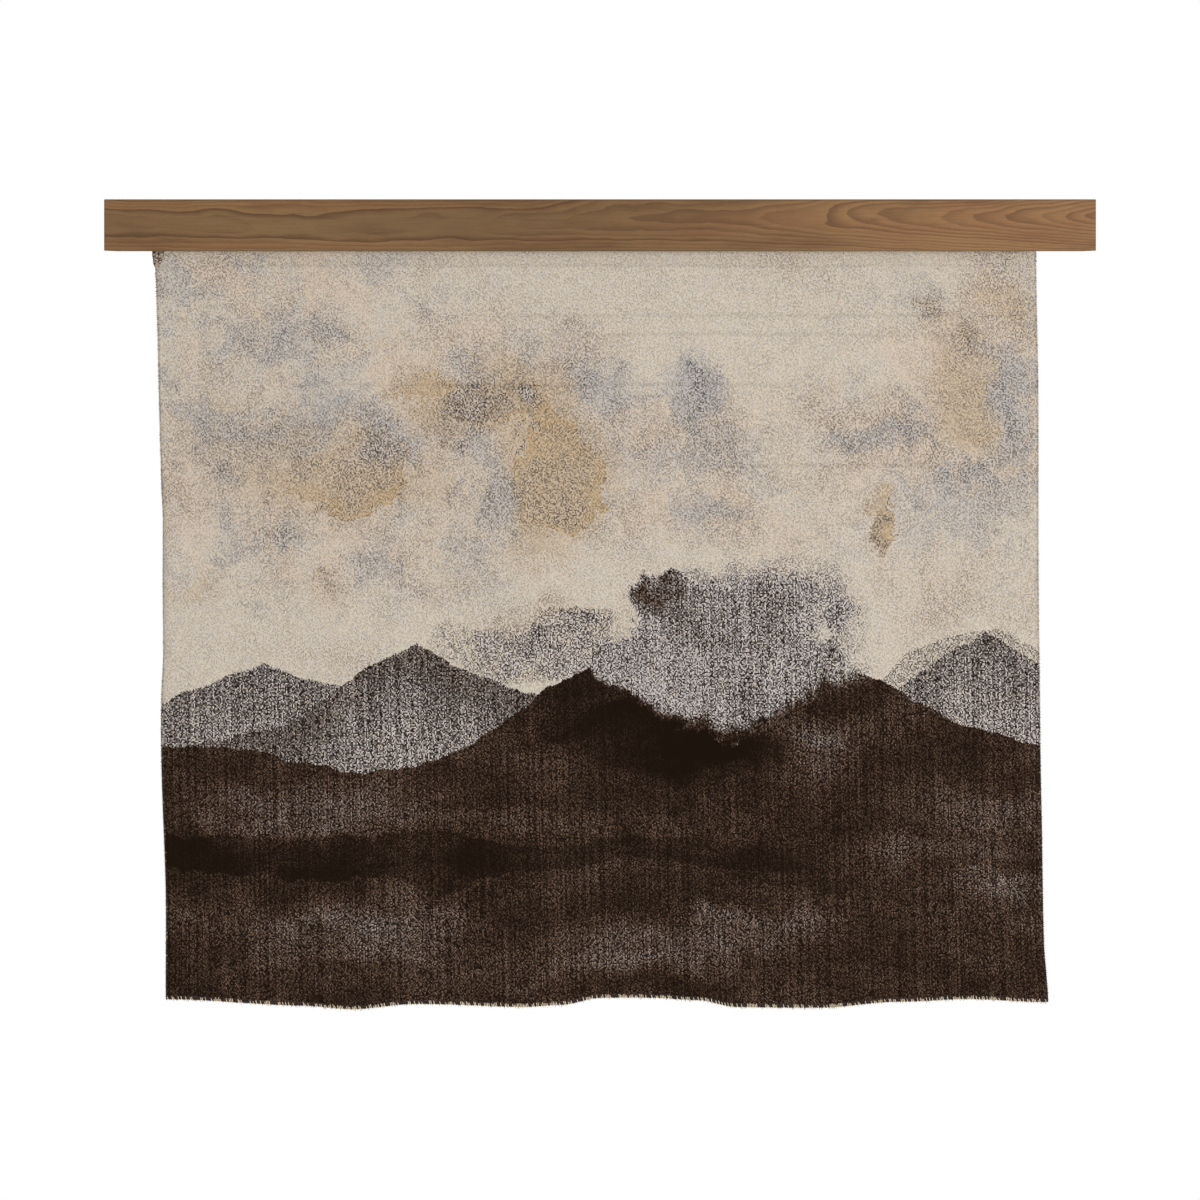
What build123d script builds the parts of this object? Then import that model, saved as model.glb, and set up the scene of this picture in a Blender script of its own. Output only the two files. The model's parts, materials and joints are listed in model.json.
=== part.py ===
from build123d import *
import os
from math import cos, radians, sin

# Tapestry wall hanging, in millimetres, +Z up.
# The wall is the plane y = 0 and the room is on the -Y side, so the hanging faces -Y.
# The origin is on the wall, at the middle of the wall cleat's row of screw holes.

# Aluminium bar cleat: one bent strip on the wall hooks into another on the header.
strip = 2.4
play = 0.3
hook = 8.4
hook_spare = 0.6
plate_height = 17.0
cleat_length = 1250.0
stud_spacing = 406.4
wall_hole_radius = 2.25
plate_low = -(plate_height - strip) / 2
web_low = -plate_low
seat = web_low + strip + hook + hook_spare
cleat_stack = 2 * (strip + play) + play

# Walnut header: a box of mitred boards, open at the back and underneath.
header_length = 1524.0
header_height = 79.0
header_depth = 48.5
board = 19.0
eased_edge = 1.2
# The underside of each end rises by this much towards the wall, so that it stays hidden from the front.
end_relief = 3.0
pad_thickness = 1.5
rail_top = seat + plate_height + 4.0
header_top = rail_top + board
header_bottom = header_top - header_height
header_back = -pad_thickness
header_front = header_back - header_depth
header_inside = header_front + board
half_length = header_length / 2
half_inside = half_length - board

# Poplar rail inside the header, between two glue blocks.
rail_thickness = 19.0
rail_height = 56.0
rail_half = 715.0
rail_back = -cleat_stack
rail_front = rail_back - rail_thickness
rail_bottom = rail_top - rail_height

# Pocket screws that hold the rail up to the top board.
pocket_tilt = 15.0
pocket_radius = 4.75
pocket_web = 20.0
pocket_bite = 12.0
pocket_places = (655.0, 697.0)
pocket_thread_radius = 2.1

# Pan-head screws of the header cleat.
cleat_screw_count = 8
cleat_screw_pitch = 170.0
cleat_screw_z = seat + (strip + plate_height) / 2
screw_radius = 2.0
screw_length = 12.0
head_radius = 3.75
head_height = 2.1
pilot_relief = 0.3

# Hook-and-loop tapes, with the staples that hold the hook tape.
tape_thickness = 1.5
tape_width = 50.0
tape_length = 1345.0
tape_low = rail_bottom + 2.0
staple_columns = 14
staple_pitch = 98.0
staple_crown = 10.0
staple_leg = 8.0
staple_wire = 1.2
staple_flat = 0.6

# Cloth: one woven piece, hung a little out of square, so it drifts to +X on its way down.
cloth_width = 1357.0
cloth_thickness = 1.5
cloth_drop = 1158.5
cloth_centre_top = -6.0
cloth_centre_low = 10.5
hinge_gap = 1.5
heading_rise = 2.0
cloth_back = rail_front - 2 * tape_thickness
cloth_front = cloth_back - cloth_thickness
overlock_height = 6.0
overlock_thickness = 3.4
cloth_low = header_bottom - cloth_drop
panel_low = cloth_low + overlock_height
label_size = (45.0, 0.4, 30.0)
label_place = (560.0, 70.0)


def block(x0, x1, y0, y1, z0, z1):
    """A box between two corners."""
    middle = Pos((x0 + x1) / 2, (y0 + y1) / 2, (z0 + z1) / 2)
    return middle * Box(x1 - x0, y1 - y0, z1 - z0)


def eased_block():
    """The header's outer block, with every edge eased except those against the wall."""
    outer = block(-half_length, half_length, header_front, header_back, header_bottom, header_top)
    edges = [edge for edge in outer.edges() if edge.center().Y < header_back - eased_edge]
    return fillet(edges, eased_edge)


def prism(corners, length, direction):
    return extrude(Face(Wire.make_polygon(corners)), length, dir=direction)


# Corners that the mitre cuts run through: outside the block, and inside the box.
x_out = half_length + board
y_out = header_front - board
y_far = header_back + board
z_out = header_top + board
z_far = header_bottom - board


def along_header(section):
    """Draws a section of (y, z) corners out along the header."""
    return prism([(-x_out, y, z) for y, z in section], 2 * x_out, (1, 0, 0))


def through_height(plan):
    """Draws a plan of (x, y) corners up through the header's height."""
    return prism([(x, y, z_far) for x, y in plan], z_out - z_far, (0, 0, 1))


def through_depth(elevation):
    """Draws an elevation of (x, z) corners back through the header's depth."""
    return prism([(x, y_out, z) for x, z in elevation], y_far - y_out, (0, 1, 0))


def face_board():
    section = [(y_out, z_far), (y_out, z_out), (header_inside, rail_top), (header_inside, z_far)]
    plan = [(-x_out, y_out), (x_out, y_out), (half_inside, header_inside), (-half_inside, header_inside)]
    return eased_block() & along_header(section) & through_height(plan)


def top_board():
    section = [(y_out, z_out), (y_far, z_out), (y_far, rail_top), (header_inside, rail_top)]
    elevation = [(-x_out, z_out), (x_out, z_out), (half_inside, rail_top), (-half_inside, rail_top)]
    mitred = eased_block() & along_header(section) & through_depth(elevation)
    for plane in pocket_planes():
        mitred -= plane * pilot_hole(pocket_bite)
    return mitred


def end_return(side):
    """side is -1 for the left end and 1 for the right end, seen from the room."""
    outer = side * x_out
    inner = side * half_inside
    plan = [(outer, y_out), (outer, y_far), (inner, y_far), (inner, header_inside)]
    elevation = [(outer, z_out), (outer, z_far), (inner, z_far), (inner, rail_top)]
    underside = [(y, header_bottom + (y - header_front) * end_relief / header_depth) for y in (y_far, y_out)]
    section = [(y_out, z_out), (y_far, z_out), *underside]
    return eased_block() & along_header(section) & through_height(plan) & through_depth(elevation)


def corner_block(side):
    """Softwood block glued into a front corner, at the end of the rail."""
    near, far = sorted((side * rail_half, side * half_inside))
    return block(near, far, header_inside, rail_back, rail_bottom, rail_top)


def pocket_planes():
    """Where each pocket screw crosses the joint of rail and top board, with its z along the screw."""
    lean = (0, -sin(radians(pocket_tilt)), cos(radians(pocket_tilt)))
    middle = (rail_front + rail_back) / 2
    places = [side * x for side in (-1, 1) for x in pocket_places]
    return [Plane(origin=(x, middle, rail_top), x_dir=(1, 0, 0), z_dir=lean) for x in places]


def pilot_hole(depth):
    """A screw's pilot hole, narrower than its thread, from the pocket's shoulder to depth past the joint."""
    radius = pocket_thread_radius - pilot_relief
    return Pos(0, 0, -pocket_web) * up_cylinder(radius, pocket_web + depth)


def up_cylinder(radius, height):
    return Cylinder(radius, height, align=(Align.CENTER, Align.CENTER, Align.MIN))


def down_cylinder(radius, height):
    return Cylinder(radius, height, align=(Align.CENTER, Align.CENTER, Align.MAX))


def cross_recess(width, depth):
    """The two crossing slots in a screw head, to be cut down from z = 0."""
    low = (Align.CENTER, Align.CENTER, Align.MAX)
    slot = Box(width, width / 4, depth, align=low)
    return slot + Rot(0, 0, 90) * slot


def pocket_screw():
    """Washer-head screw, its z along the shank and its head against the pocket's shoulder."""
    reach = pocket_web + pocket_bite - 1.0
    washer = down_cylinder(4.4, 1.2)
    head = Pos(0, 0, -1.2) * down_cylinder(3.1, 1.8)
    screw = up_cylinder(pocket_thread_radius, reach) + washer + head
    recess = Rot(180, 0, 0) * cross_recess(3.6, 1.5)
    screw -= Pos(0, 0, -3.0) * recess
    return Pos(0, 0, -pocket_web) * screw


def rail_pocket_screws():
    return [plane * pocket_screw() for plane in pocket_planes()]


def cleat_screw_places():
    middle = (cleat_screw_count - 1) / 2
    return [(index - middle) * cleat_screw_pitch for index in range(cleat_screw_count)]


def hanging_rail():
    rail = block(-rail_half, rail_half, rail_front, rail_back, rail_bottom, rail_top)
    for plane in pocket_planes():
        pocket = Pos(0, 0, -pocket_web) * down_cylinder(pocket_radius, 2 * rail_height)
        rail -= plane * pocket
        rail -= plane * pilot_hole(0)
    for x in cleat_screw_places():
        pilot = Cylinder(screw_radius - pilot_relief, screw_length)
        rail -= Pos(x, rail_back - screw_length / 2, cleat_screw_z) * Rot(90, 0, 0) * pilot
    return rail


def hook_tape():
    x0 = cloth_centre_top - tape_length / 2
    x1 = cloth_centre_top + tape_length / 2
    return block(x0, x1, rail_front - tape_thickness, rail_front, tape_low, tape_low + tape_width)


def loop_tape():
    return Pos(0, -tape_thickness, 0) * hook_tape()


def staple():
    """A flat-wire staple in the XY plane, its crown along X at y = 0 and its legs towards +Y."""
    crown = Box(staple_crown, staple_flat, staple_wire, align=(Align.CENTER, Align.MIN, Align.CENTER))
    leg = Box(staple_flat, staple_leg, staple_wire, align=(Align.CENTER, Align.MIN, Align.CENTER))
    reach = (staple_crown - staple_flat) / 2
    return crown + Pos(-reach, 0, 0) * leg + Pos(reach, 0, 0) * leg


def tape_staples():
    """Two rows of staples, sunk flush with the hook tape's face."""
    face = rail_front - tape_thickness
    edge = 6.0
    middle = (staple_columns - 1) / 2
    columns = [cloth_centre_top + (i - middle) * staple_pitch for i in range(staple_columns)]
    rows = (tape_low + edge, tape_low + tape_width - edge)
    return [Pos(x, face, z) * staple() for z in rows for x in columns]


def cloth_heading():
    """The top of the cloth, held flat against the tapes inside the header."""
    x0 = cloth_centre_top - cloth_width / 2
    x1 = cloth_centre_top + cloth_width / 2
    return block(x0, x1, cloth_front, cloth_back, header_bottom + heading_rise, rail_top - 1.0)


def leaning_strip(z_top, z_low, thickness):
    """A flat strip of the hanging cloth between two heights, its sides leaning with the cloth."""
    lean = (cloth_centre_low - cloth_centre_top) / cloth_drop
    middle = (cloth_front + cloth_back) / 2
    corners = []
    for z, sides in ((z_top, (-1, 1)), (z_low, (1, -1))):
        centre = cloth_centre_top + lean * (header_bottom - z)
        corners += [(centre + side * cloth_width / 2, middle + thickness / 2, z) for side in sides]
    outline = Face(Wire.make_polygon(corners))
    return extrude(outline, thickness, dir=(0, -1, 0))


def cloth_panel():
    return leaning_strip(header_bottom - hinge_gap, panel_low, cloth_thickness)


def bottom_overlock():
    return leaning_strip(panel_low, cloth_low, overlock_thickness)


def care_label():
    """Blank label on the back of the cloth, near the lower corner at +X."""
    width, thickness, height = label_size
    x, rise = label_place
    y_far = cloth_back + thickness
    return block(x - width / 2, x + width / 2, cloth_back, y_far, cloth_low + rise, cloth_low + rise + height)


def header_cleat():
    front = -cleat_stack
    outline = [
        (0, front, seat),
        (0, front, seat + plate_height),
        (0, front + strip, seat + plate_height),
        (0, front + strip, seat + strip),
        (0, -play, seat + strip),
        (0, -play, seat - hook),
        (0, -play - strip, seat - hook),
        (0, -play - strip, seat),
    ]
    bar = cleat_bar(outline)
    for x in cleat_screw_places():
        hole = Cylinder(screw_radius + 0.3, 4 * strip)
        bar -= Pos(x, front, cleat_screw_z) * Rot(90, 0, 0) * hole
    return bar


def wall_cleat():
    back_of_hook = -(strip + 2 * play)
    outline = [
        (0, 0, plate_low),
        (0, 0, web_low + strip),
        (0, back_of_hook, web_low + strip),
        (0, back_of_hook, seat),
        (0, back_of_hook - strip, seat),
        (0, back_of_hook - strip, web_low),
        (0, -strip, web_low),
        (0, -strip, plate_low),
    ]
    bar = cleat_bar(outline)
    for stud in (-1.5, -0.5, 0.5, 1.5):
        hole = Cylinder(wall_hole_radius, 4 * strip)
        bar -= Pos(stud * stud_spacing, 0, 0) * Rot(90, 0, 0) * hole
    return bar


def cleat_bar(outline):
    """A cleat's bent section, drawn at x = 0, drawn out to its full length."""
    section = Pos(-cleat_length / 2, 0, 0) * Face(Wire.make_polygon(outline))
    return extrude(section, cleat_length, dir=(1, 0, 0))


def header_cleat_screws():
    """Pan-head screws through the cleat's plate into the rail."""
    plate_face = -cleat_stack + strip
    head = fillet(up_cylinder(head_radius, head_height).edges().sort_by(Axis.Z)[-1], 1.4)
    recess = Pos(0, 0, head_height) * cross_recess(4.0, 1.3)
    screw = head - recess + down_cylinder(screw_radius, strip + screw_length)
    return [Pos(x, plate_face, cleat_screw_z) * Rot(-90, 0, 0) * screw for x in cleat_screw_places()]


def wall_pad(side):
    """Felt strip with rounded ends on an end return's rear edge."""
    width = 12.0
    height = 55.0
    place = Pos(side * (half_length - board / 2), header_back, (header_top + header_bottom) / 2)
    strip_outline = Plane.XZ * SlotOverall(height, width, rotation=90)
    return place * extrude(strip_outline, pad_thickness, dir=(0, 1, 0))


nodes = {
    "face_board": face_board(),
    "top_board": top_board(),
    "end_return_left": end_return(-1),
    "end_return_right": end_return(1),
    "corner_block_left": corner_block(-1),
    "corner_block_right": corner_block(1),
    "hanging_rail": hanging_rail(),
    "rail_pocket_screws": Compound(children=rail_pocket_screws()),
    "hook_tape": hook_tape(),
    "tape_staples": Compound(children=tape_staples()),
    "loop_tape": loop_tape(),
    "cloth_heading": cloth_heading(),
    "cloth_panel": cloth_panel(),
    "bottom_overlock": bottom_overlock(),
    "care_label": care_label(),
    "header_cleat": header_cleat(),
    "header_cleat_screws": Compound(children=header_cleat_screws()),
    "wall_cleat": wall_cleat(),
    "wall_pad_left": wall_pad(-1),
    "wall_pad_right": wall_pad(1),
}

os.makedirs("parts", exist_ok=True)
for name, shape in nodes.items():
    export_step(shape, f"parts/{name}.step")
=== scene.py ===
import bpy
import json
import math
import numpy as np
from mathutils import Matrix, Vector


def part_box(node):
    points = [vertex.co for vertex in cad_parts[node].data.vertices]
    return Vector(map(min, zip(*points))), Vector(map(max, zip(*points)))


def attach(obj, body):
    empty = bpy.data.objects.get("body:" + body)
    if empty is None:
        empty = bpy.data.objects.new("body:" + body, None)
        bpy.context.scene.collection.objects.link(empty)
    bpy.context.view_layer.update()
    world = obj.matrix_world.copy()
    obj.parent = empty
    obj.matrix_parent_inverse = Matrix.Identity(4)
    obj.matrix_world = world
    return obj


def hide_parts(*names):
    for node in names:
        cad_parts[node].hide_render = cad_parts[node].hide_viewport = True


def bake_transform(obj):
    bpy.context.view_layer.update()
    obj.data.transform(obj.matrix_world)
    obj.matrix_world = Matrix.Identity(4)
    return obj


# Tapestry wall hanging, in metres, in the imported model's frame: the wall is y = 0, the room is at -Y.
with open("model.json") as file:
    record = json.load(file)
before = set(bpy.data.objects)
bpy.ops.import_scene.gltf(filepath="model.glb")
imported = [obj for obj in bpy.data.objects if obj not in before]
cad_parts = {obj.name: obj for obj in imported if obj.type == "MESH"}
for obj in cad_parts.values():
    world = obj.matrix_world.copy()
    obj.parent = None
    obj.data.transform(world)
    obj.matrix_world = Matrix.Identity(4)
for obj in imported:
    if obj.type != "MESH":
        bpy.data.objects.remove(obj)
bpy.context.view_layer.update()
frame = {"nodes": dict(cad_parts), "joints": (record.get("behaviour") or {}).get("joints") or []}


# ---- places taken from the frame

face_low, face_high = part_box("face_board")
heading_low, heading_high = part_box("cloth_heading")
overlock_low, overlock_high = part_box("bottom_overlock")
swing = next(joint for joint in frame["joints"] if joint["name"] == "cloth_swing")
HINGE = Vector(swing["pos_m"])
MM = 0.001

CLOTH_WIDTH = heading_high.x - heading_low.x
CLOTH_CENTRE = (heading_high.x + heading_low.x) / 2
CLOTH_PLANE = (heading_high.y + heading_low.y) / 2
CLOTH_THICK = 1.4 * MM
DROP = HINGE.z - overlock_low.z - 1 * MM
HIDDEN = heading_high.z - HINGE.z
DRIFT = (overlock_high.x + overlock_low.x) / 2 - CLOTH_CENTRE
HALF = CLOTH_WIDTH / 2


# ---- camera, lights and floor

def make_camera():
    """A long lens, square on to the hanging, a little below the middle of the cloth's height."""
    lens = 200.0
    sensor = 36.0
    header_share = 0.82625
    below_header = 0.5367
    distance = (face_high.x - face_low.x) / header_share * lens / sensor
    data = bpy.data.cameras.new("camera")
    data.lens = lens
    data.sensor_width = sensor
    data.clip_end = 60
    camera = bpy.data.objects.new("camera", data)
    bpy.context.scene.collection.objects.link(camera)
    camera.location = (0, face_low.y - distance, face_low.z - below_header)
    camera.rotation_euler = (math.radians(90), 0, 0)
    bpy.context.scene.camera = camera


def soft_light(name, place, target, size, watts):
    data = bpy.data.lights.new(name, "AREA")
    data.shape = "RECTANGLE"
    data.size = size[0]
    data.size_y = size[1]
    data.energy = watts
    light = bpy.data.objects.new(name, data)
    bpy.context.scene.collection.objects.link(light)
    light.location = place
    aim = Vector(target) - Vector(place)
    light.rotation_euler = aim.to_track_quat("-Z", "Y").to_euler()


def make_world():
    """A white studio: pure white behind the object, and a softer white for what lights it."""
    world = bpy.data.worlds.new("studio")
    bpy.context.scene.world = world
    world.use_nodes = True
    tree = world.node_tree
    tree.nodes.clear()
    path = tree.nodes.new("ShaderNodeLightPath")
    backdrop, room = (tree.nodes.new("ShaderNodeBackground") for _ in range(2))
    for node, strength in ((backdrop, 1.0), (room, 0.66)):
        node.inputs["Strength"].default_value = strength
        node.inputs["Color"].default_value = (1, 1, 1, 1)
    mix = tree.nodes.new("ShaderNodeMixShader")
    out = tree.nodes.new("ShaderNodeOutputWorld")
    tree.links.new(path.outputs["Is Camera Ray"], mix.inputs[0])
    tree.links.new(room.outputs[0], mix.inputs[1])
    tree.links.new(backdrop.outputs[0], mix.inputs[2])
    tree.links.new(mix.outputs[0], out.inputs["Surface"])
    bpy.context.scene.view_settings.view_transform = "Standard"


def make_lights():
    middle = (0, 0, -0.55)
    soft_light("key_light", (1.9, -3.7, -0.1), middle, (2.4, 2.4), 76)
    soft_light("fill_light", (-2.8, -3.4, -0.7), middle, (2.4, 2.4), 26)
    soft_light("back_light", (-1.6, 3.6, 1.6), middle, (2.6, 2.6), 90)


def make_floor():
    """A pale round floor, well below the hanging."""
    below_cloth = 0.85
    bpy.ops.mesh.primitive_circle_add(vertices=128, radius=3.2, fill_type="NGON")
    floor = bpy.context.object
    floor.name = "studio_floor"
    floor.location = (0, 0, overlock_low.z - below_cloth)
    g = Graph("studio_floor")
    mottle = g.noise(g.object_place(), 2.0, 4)
    g.finish(g.mix(mottle, (0.86, 0.86, 0.85), (0.9, 0.9, 0.89)), g.ramp(mottle, 0, 1, 0.7, 0.85))
    floor.data.materials.append(g.material)


# ---- shader nodes as short expressions

def srgb(red, green, blue):
    """A colour given as it looks on a screen, 0 to 255, as the linear values that nodes use."""
    def linear(value):
        value /= 255
        return value / 12.92 if value <= 0.04045 else ((value + 0.055) / 1.055) ** 2.4
    return (linear(red), linear(green), linear(blue))


class Graph:
    """One material's node tree. Each method adds a node and returns its output socket."""

    def __init__(self, name):
        self.material = bpy.data.materials.new(name)
        self.material.use_nodes = True
        self.tree = self.material.node_tree
        self.tree.nodes.clear()

    def node(self, kind, inputs=(), **settings):
        made = self.tree.nodes.new(kind)
        for key, value in settings.items():
            setattr(made, key, value)
        for key, value in dict(inputs).items():
            self.feed(made.inputs[key], value)
        return made

    def feed(self, socket, value):
        if isinstance(value, bpy.types.NodeSocket):
            self.tree.links.new(value, socket)
        elif socket.type == "RGBA":
            socket.default_value = (*value, 1.0)
        else:
            socket.default_value = value

    def math(self, operation, a, b=0.0):
        return self.node("ShaderNodeMath", {0: a, 1: b}, operation=operation).outputs[0]

    def chain(self, operation, terms):
        """One operation over all the terms, in order."""
        total = terms[0]
        for term in terms[1:]:
            total = self.math(operation, total, term)
        return total

    def add(self, *terms):
        return self.chain("ADD", terms)

    def mul(self, *terms):
        return self.chain("MULTIPLY", terms)

    def most(self, *terms):
        return self.chain("MAXIMUM", terms)

    def sub(self, a, b):
        return self.math("SUBTRACT", a, b)

    def absolute(self, a):
        return self.math("ABSOLUTE", a)

    def about(self, field, reach):
        """A 0 to 1 field as a number round zero, up to half of reach either way."""
        return self.mul(self.sub(field, 0.5), reach)

    def ramp(self, value, low, high, to_low=0.0, to_high=1.0):
        """A smooth step of value, from to_low at low to to_high at high."""
        inputs = {"Value": value, "From Min": low, "From Max": high, "To Min": to_low, "To Max": to_high}
        return self.node("ShaderNodeMapRange", inputs, interpolation_type="SMOOTHSTEP").outputs["Result"]

    def mix(self, share, a, b, blend="MIX"):
        """A colour between a and b."""
        inputs = {0: share, 6: a, 7: b}
        return self.node("ShaderNodeMix", inputs, data_type="RGBA", blend_type=blend).outputs[2]

    def blend(self, share, a, b):
        """A number between a and b."""
        return self.node("ShaderNodeMix", {0: share, 2: a, 3: b}, data_type="FLOAT").outputs[0]

    def vector(self, x, y, z=0.0):
        return self.node("ShaderNodeCombineXYZ", {0: x, 1: y, 2: z}).outputs[0]

    def parts(self, vector):
        return self.node("ShaderNodeSeparateXYZ", {0: vector}).outputs

    def scaled(self, vector, scale, shift):
        inputs = {0: vector, 1: scale, 2: shift}
        return self.node("ShaderNodeVectorMath", inputs, operation="MULTIPLY_ADD").outputs[0]

    def shifted(self, vector, shift):
        return self.scaled(vector, (1, 1, 1), shift)

    def noise(self, vector, scale, detail, roughness=0.5):
        inputs = {"Vector": vector, "Scale": scale, "Detail": detail, "Roughness": roughness}
        return self.node("ShaderNodeTexNoise", inputs, noise_dimensions="3D").outputs[0]

    def streaks(self, vector, scale, detail, roughness=0.5, seed=0.0):
        """Noise drawn out by a scale of its own along each axis."""
        return self.noise(self.scaled(vector, scale, (0.0, 0.0, seed)), 1.0, detail, roughness)

    def chance(self, vector):
        """A random number for each whole-number cell of vector."""
        cell = self.node("ShaderNodeVectorMath", {0: vector}, operation="FLOOR").outputs[0]
        return self.node("ShaderNodeTexWhiteNoise", {"Vector": cell}, noise_dimensions="3D").outputs[0]

    def curve(self, value, points):
        """Straight lines through (place, height) points."""
        made = self.node("ShaderNodeFloatCurve", {"Value": value})
        curve = made.mapping.curves[0]
        while len(curve.points) < len(points):
            curve.points.new(0.5, 0.5)
        for point, place in zip(curve.points, points):
            point.location = place
            point.handle_type = "VECTOR"
        made.mapping.update()
        return made.outputs[0]

    def object_place(self):
        return self.node("ShaderNodeTexCoord").outputs["Object"]

    def bump(self, height, distance, strength):
        inputs = {"Height": height, "Distance": distance, "Strength": strength}
        return self.node("ShaderNodeBump", inputs).outputs[0]

    def finish(self, colour, roughness, normal=None, metallic=0.0, **constants):
        """The surface itself. Constants are the shader's own sockets, by name with _ for a space."""
        shader = self.node("ShaderNodeBsdfPrincipled")
        self.feed(shader.inputs["Base Color"], colour)
        self.feed(shader.inputs["Roughness"], roughness)
        self.feed(shader.inputs["Metallic"], metallic)
        if normal is not None:
            self.feed(shader.inputs["Normal"], normal)
        for name, value in constants.items():
            socket = shader.inputs[name.replace("_", " ")]
            socket.default_value = (*value, 1.0) if socket.type == "RGBA" else value
        out = self.node("ShaderNodeOutputMaterial")
        self.tree.links.new(shader.outputs[0], out.inputs[0])
        return self.material


# ---- the woven picture

CREAM = srgb(201, 191, 176)
BEIGE = srgb(198, 184, 168)
PEACH = srgb(204, 186, 165)
SAND = srgb(190, 171, 145)
OCHRE = srgb(191, 166, 131)
TAUPE = srgb(176, 161, 142)
BLUE_GREY = srgb(180, 176, 172)
MOON_GREY = srgb(204, 194, 186)
LILAC_GREY = srgb(198, 191, 186)
PEAT = srgb(176, 142, 118)
REVERSE_TAUPE = srgb(186, 166, 144)
WARM_LOT = (1.035, 0.985, 0.915)
COOL_LOT = (0.995, 1.025, 1.095)
WARM_GLOSS = (1.0, 0.72, 0.45)
BLACK_BROWN = srgb(22, 13, 8)

RIB = 1.8 * MM
PICK = 2.0 * MM


class Picture(Graph):
    """A misty mountain view woven in dark and light yarn, drawn in the flat cloth's own metres.

    x runs across the cloth from its middle, and h up from its bottom edge.
    """

    def __init__(self, name):
        super().__init__(name)
        self.flat = self.node("ShaderNodeUVMap", uv_map="flat").outputs[0]
        self.x, self.h, _ = self.parts(self.flat)
        self.drift = self.flat
        wander = ((4.0, 2.0, 0.11, 3.1), (15.0, 4.0, 0.075, 9.2), (75.0, 4.0, 0.03, 1.3))
        for scale, detail, reach, seed in wander:
            self.drift = self.nudge(self.drift, scale, detail, reach, seed)
        self.grain = self.noise(self.shifted(self.flat, (5.5, 2.2, 8.8)), 34.0, 6.0, 0.75)
        self.cloud = self.billow(5.5, 1.7)
        self.wisp = self.billow(10.0, 5.3)
        self.scud = self.billow(7.5, 12.9)
        self.veil = self.billow(8.5, 21.3)

    def billow(self, scale, seed):
        """Cloudy light and dark, round 0.5, in ragged shapes about 1 / scale metres across."""
        return self.noise(self.shifted(self.drift, (seed, seed, seed)), scale, 6.0, 0.66)

    def patchy(self, mask, field, low, high):
        """A mask broken up by a cloudy field, so that its patches have the field's shapes."""
        return self.ramp(self.add(field, self.mul(mask, 0.4)), low, high)

    def nudge(self, place, scale, detail, reach, seed):
        """Moves each point by a smooth random amount, up to about reach metres."""
        source = self.shifted(self.flat, (seed, seed * 2, seed * 3))
        inputs = {"Vector": source, "Scale": scale, "Detail": detail, "Roughness": 0.6}
        shift = self.node("ShaderNodeTexNoise", inputs).outputs["Color"]
        shift = self.scaled(shift, (reach, reach, 0), (-reach / 2, -reach / 2, 0))
        return self.node("ShaderNodeVectorMath", {0: place, 1: shift}, operation="ADD").outputs[0]

    def blot(self, x, h, wide, tall, soft):
        """A cloudy patch round (x, h): 1 inside and 0 outside, with a ragged edge."""
        scale = (1 / wide, 1 / tall, 0)
        centred = self.scaled(self.drift, scale, (-x / wide, -h / tall, 0))
        away = self.node("ShaderNodeVectorMath", {0: centred}, operation="LENGTH").outputs["Value"]
        return self.ramp(away, 1 + soft, 1 - soft)

    def blots(self, places, soft):
        """Several patches together. Each place is (x, h, wide, tall, strength)."""
        return self.most(*(self.mul(self.blot(*place, soft), strength) for *place, strength in places))

    def ridge(self, points, jag, seed, soft=1.5 * MM):
        """A mountain: 0 above its ridge and 1 below, and how far below. Points are (x, height)."""
        span = 1.4
        place = self.add(self.mul(self.x, 1 / span), 0.5)
        height = self.curve(place, [(x / span + 0.5, h) for x, h in points])
        crags = self.about(self.noise(self.vector(self.x, seed), 16.0, 7.0, 0.6), jag)
        ragged = self.add(self.about(self.grain, 7 * MM), self.about(self.wisp, 22 * MM))
        below = self.sub(self.add(height, crags, ragged), self.h)
        return self.ramp(below, -soft, soft), below


# Patches of the picture: (x, h, half width, half height, strength), on the flat cloth.
SHADE_PATCHES = (
    (-0.48, 1.02, 0.24, 0.16, 0.45),
    (-0.54, 0.80, 0.18, 0.14, 0.7),
    (-0.22, 0.99, 0.22, 0.07, 0.40),
    (-0.30, 0.82, 0.20, 0.13, 0.75),
    (-0.08, 0.84, 0.16, 0.15, 0.65),
    (-0.35, 0.66, 0.20, 0.06, 0.45),
    (0.12, 0.90, 0.13, 0.08, 0.75),
    (0.16, 0.77, 0.13, 0.05, 0.7),
    (0.48, 0.83, 0.20, 0.11, 0.7),
    (0.60, 0.96, 0.11, 0.14, 0.9),
    (0.56, 0.68, 0.12, 0.08, 0.5),
    (-0.07, 0.58, 0.10, 0.05, 0.7),
)
BLUE_PATCHES = (
    (-0.52, 1.04, 0.13, 0.07, 0.8),
    (-0.42, 1.12, 0.07, 0.03, 0.4),
    (-0.60, 0.91, 0.07, 0.06, 0.9),
    (-0.42, 0.95, 0.07, 0.07, 0.8),
    (-0.30, 0.88, 0.06, 0.05, 0.7),
    (-0.57, 0.74, 0.08, 0.05, 0.6),
    (0.02, 0.96, 0.05, 0.05, 1.0),
    (0.14, 0.94, 0.05, 0.05, 1.0),
    (0.08, 0.84, 0.06, 0.045, 0.9),
    (0.17, 0.77, 0.05, 0.035, 0.9),
    (0.42, 0.86, 0.10, 0.05, 0.7),
    (0.55, 0.78, 0.12, 0.05, 0.8),
    (0.64, 0.90, 0.05, 0.09, 1.0),
)
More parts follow.
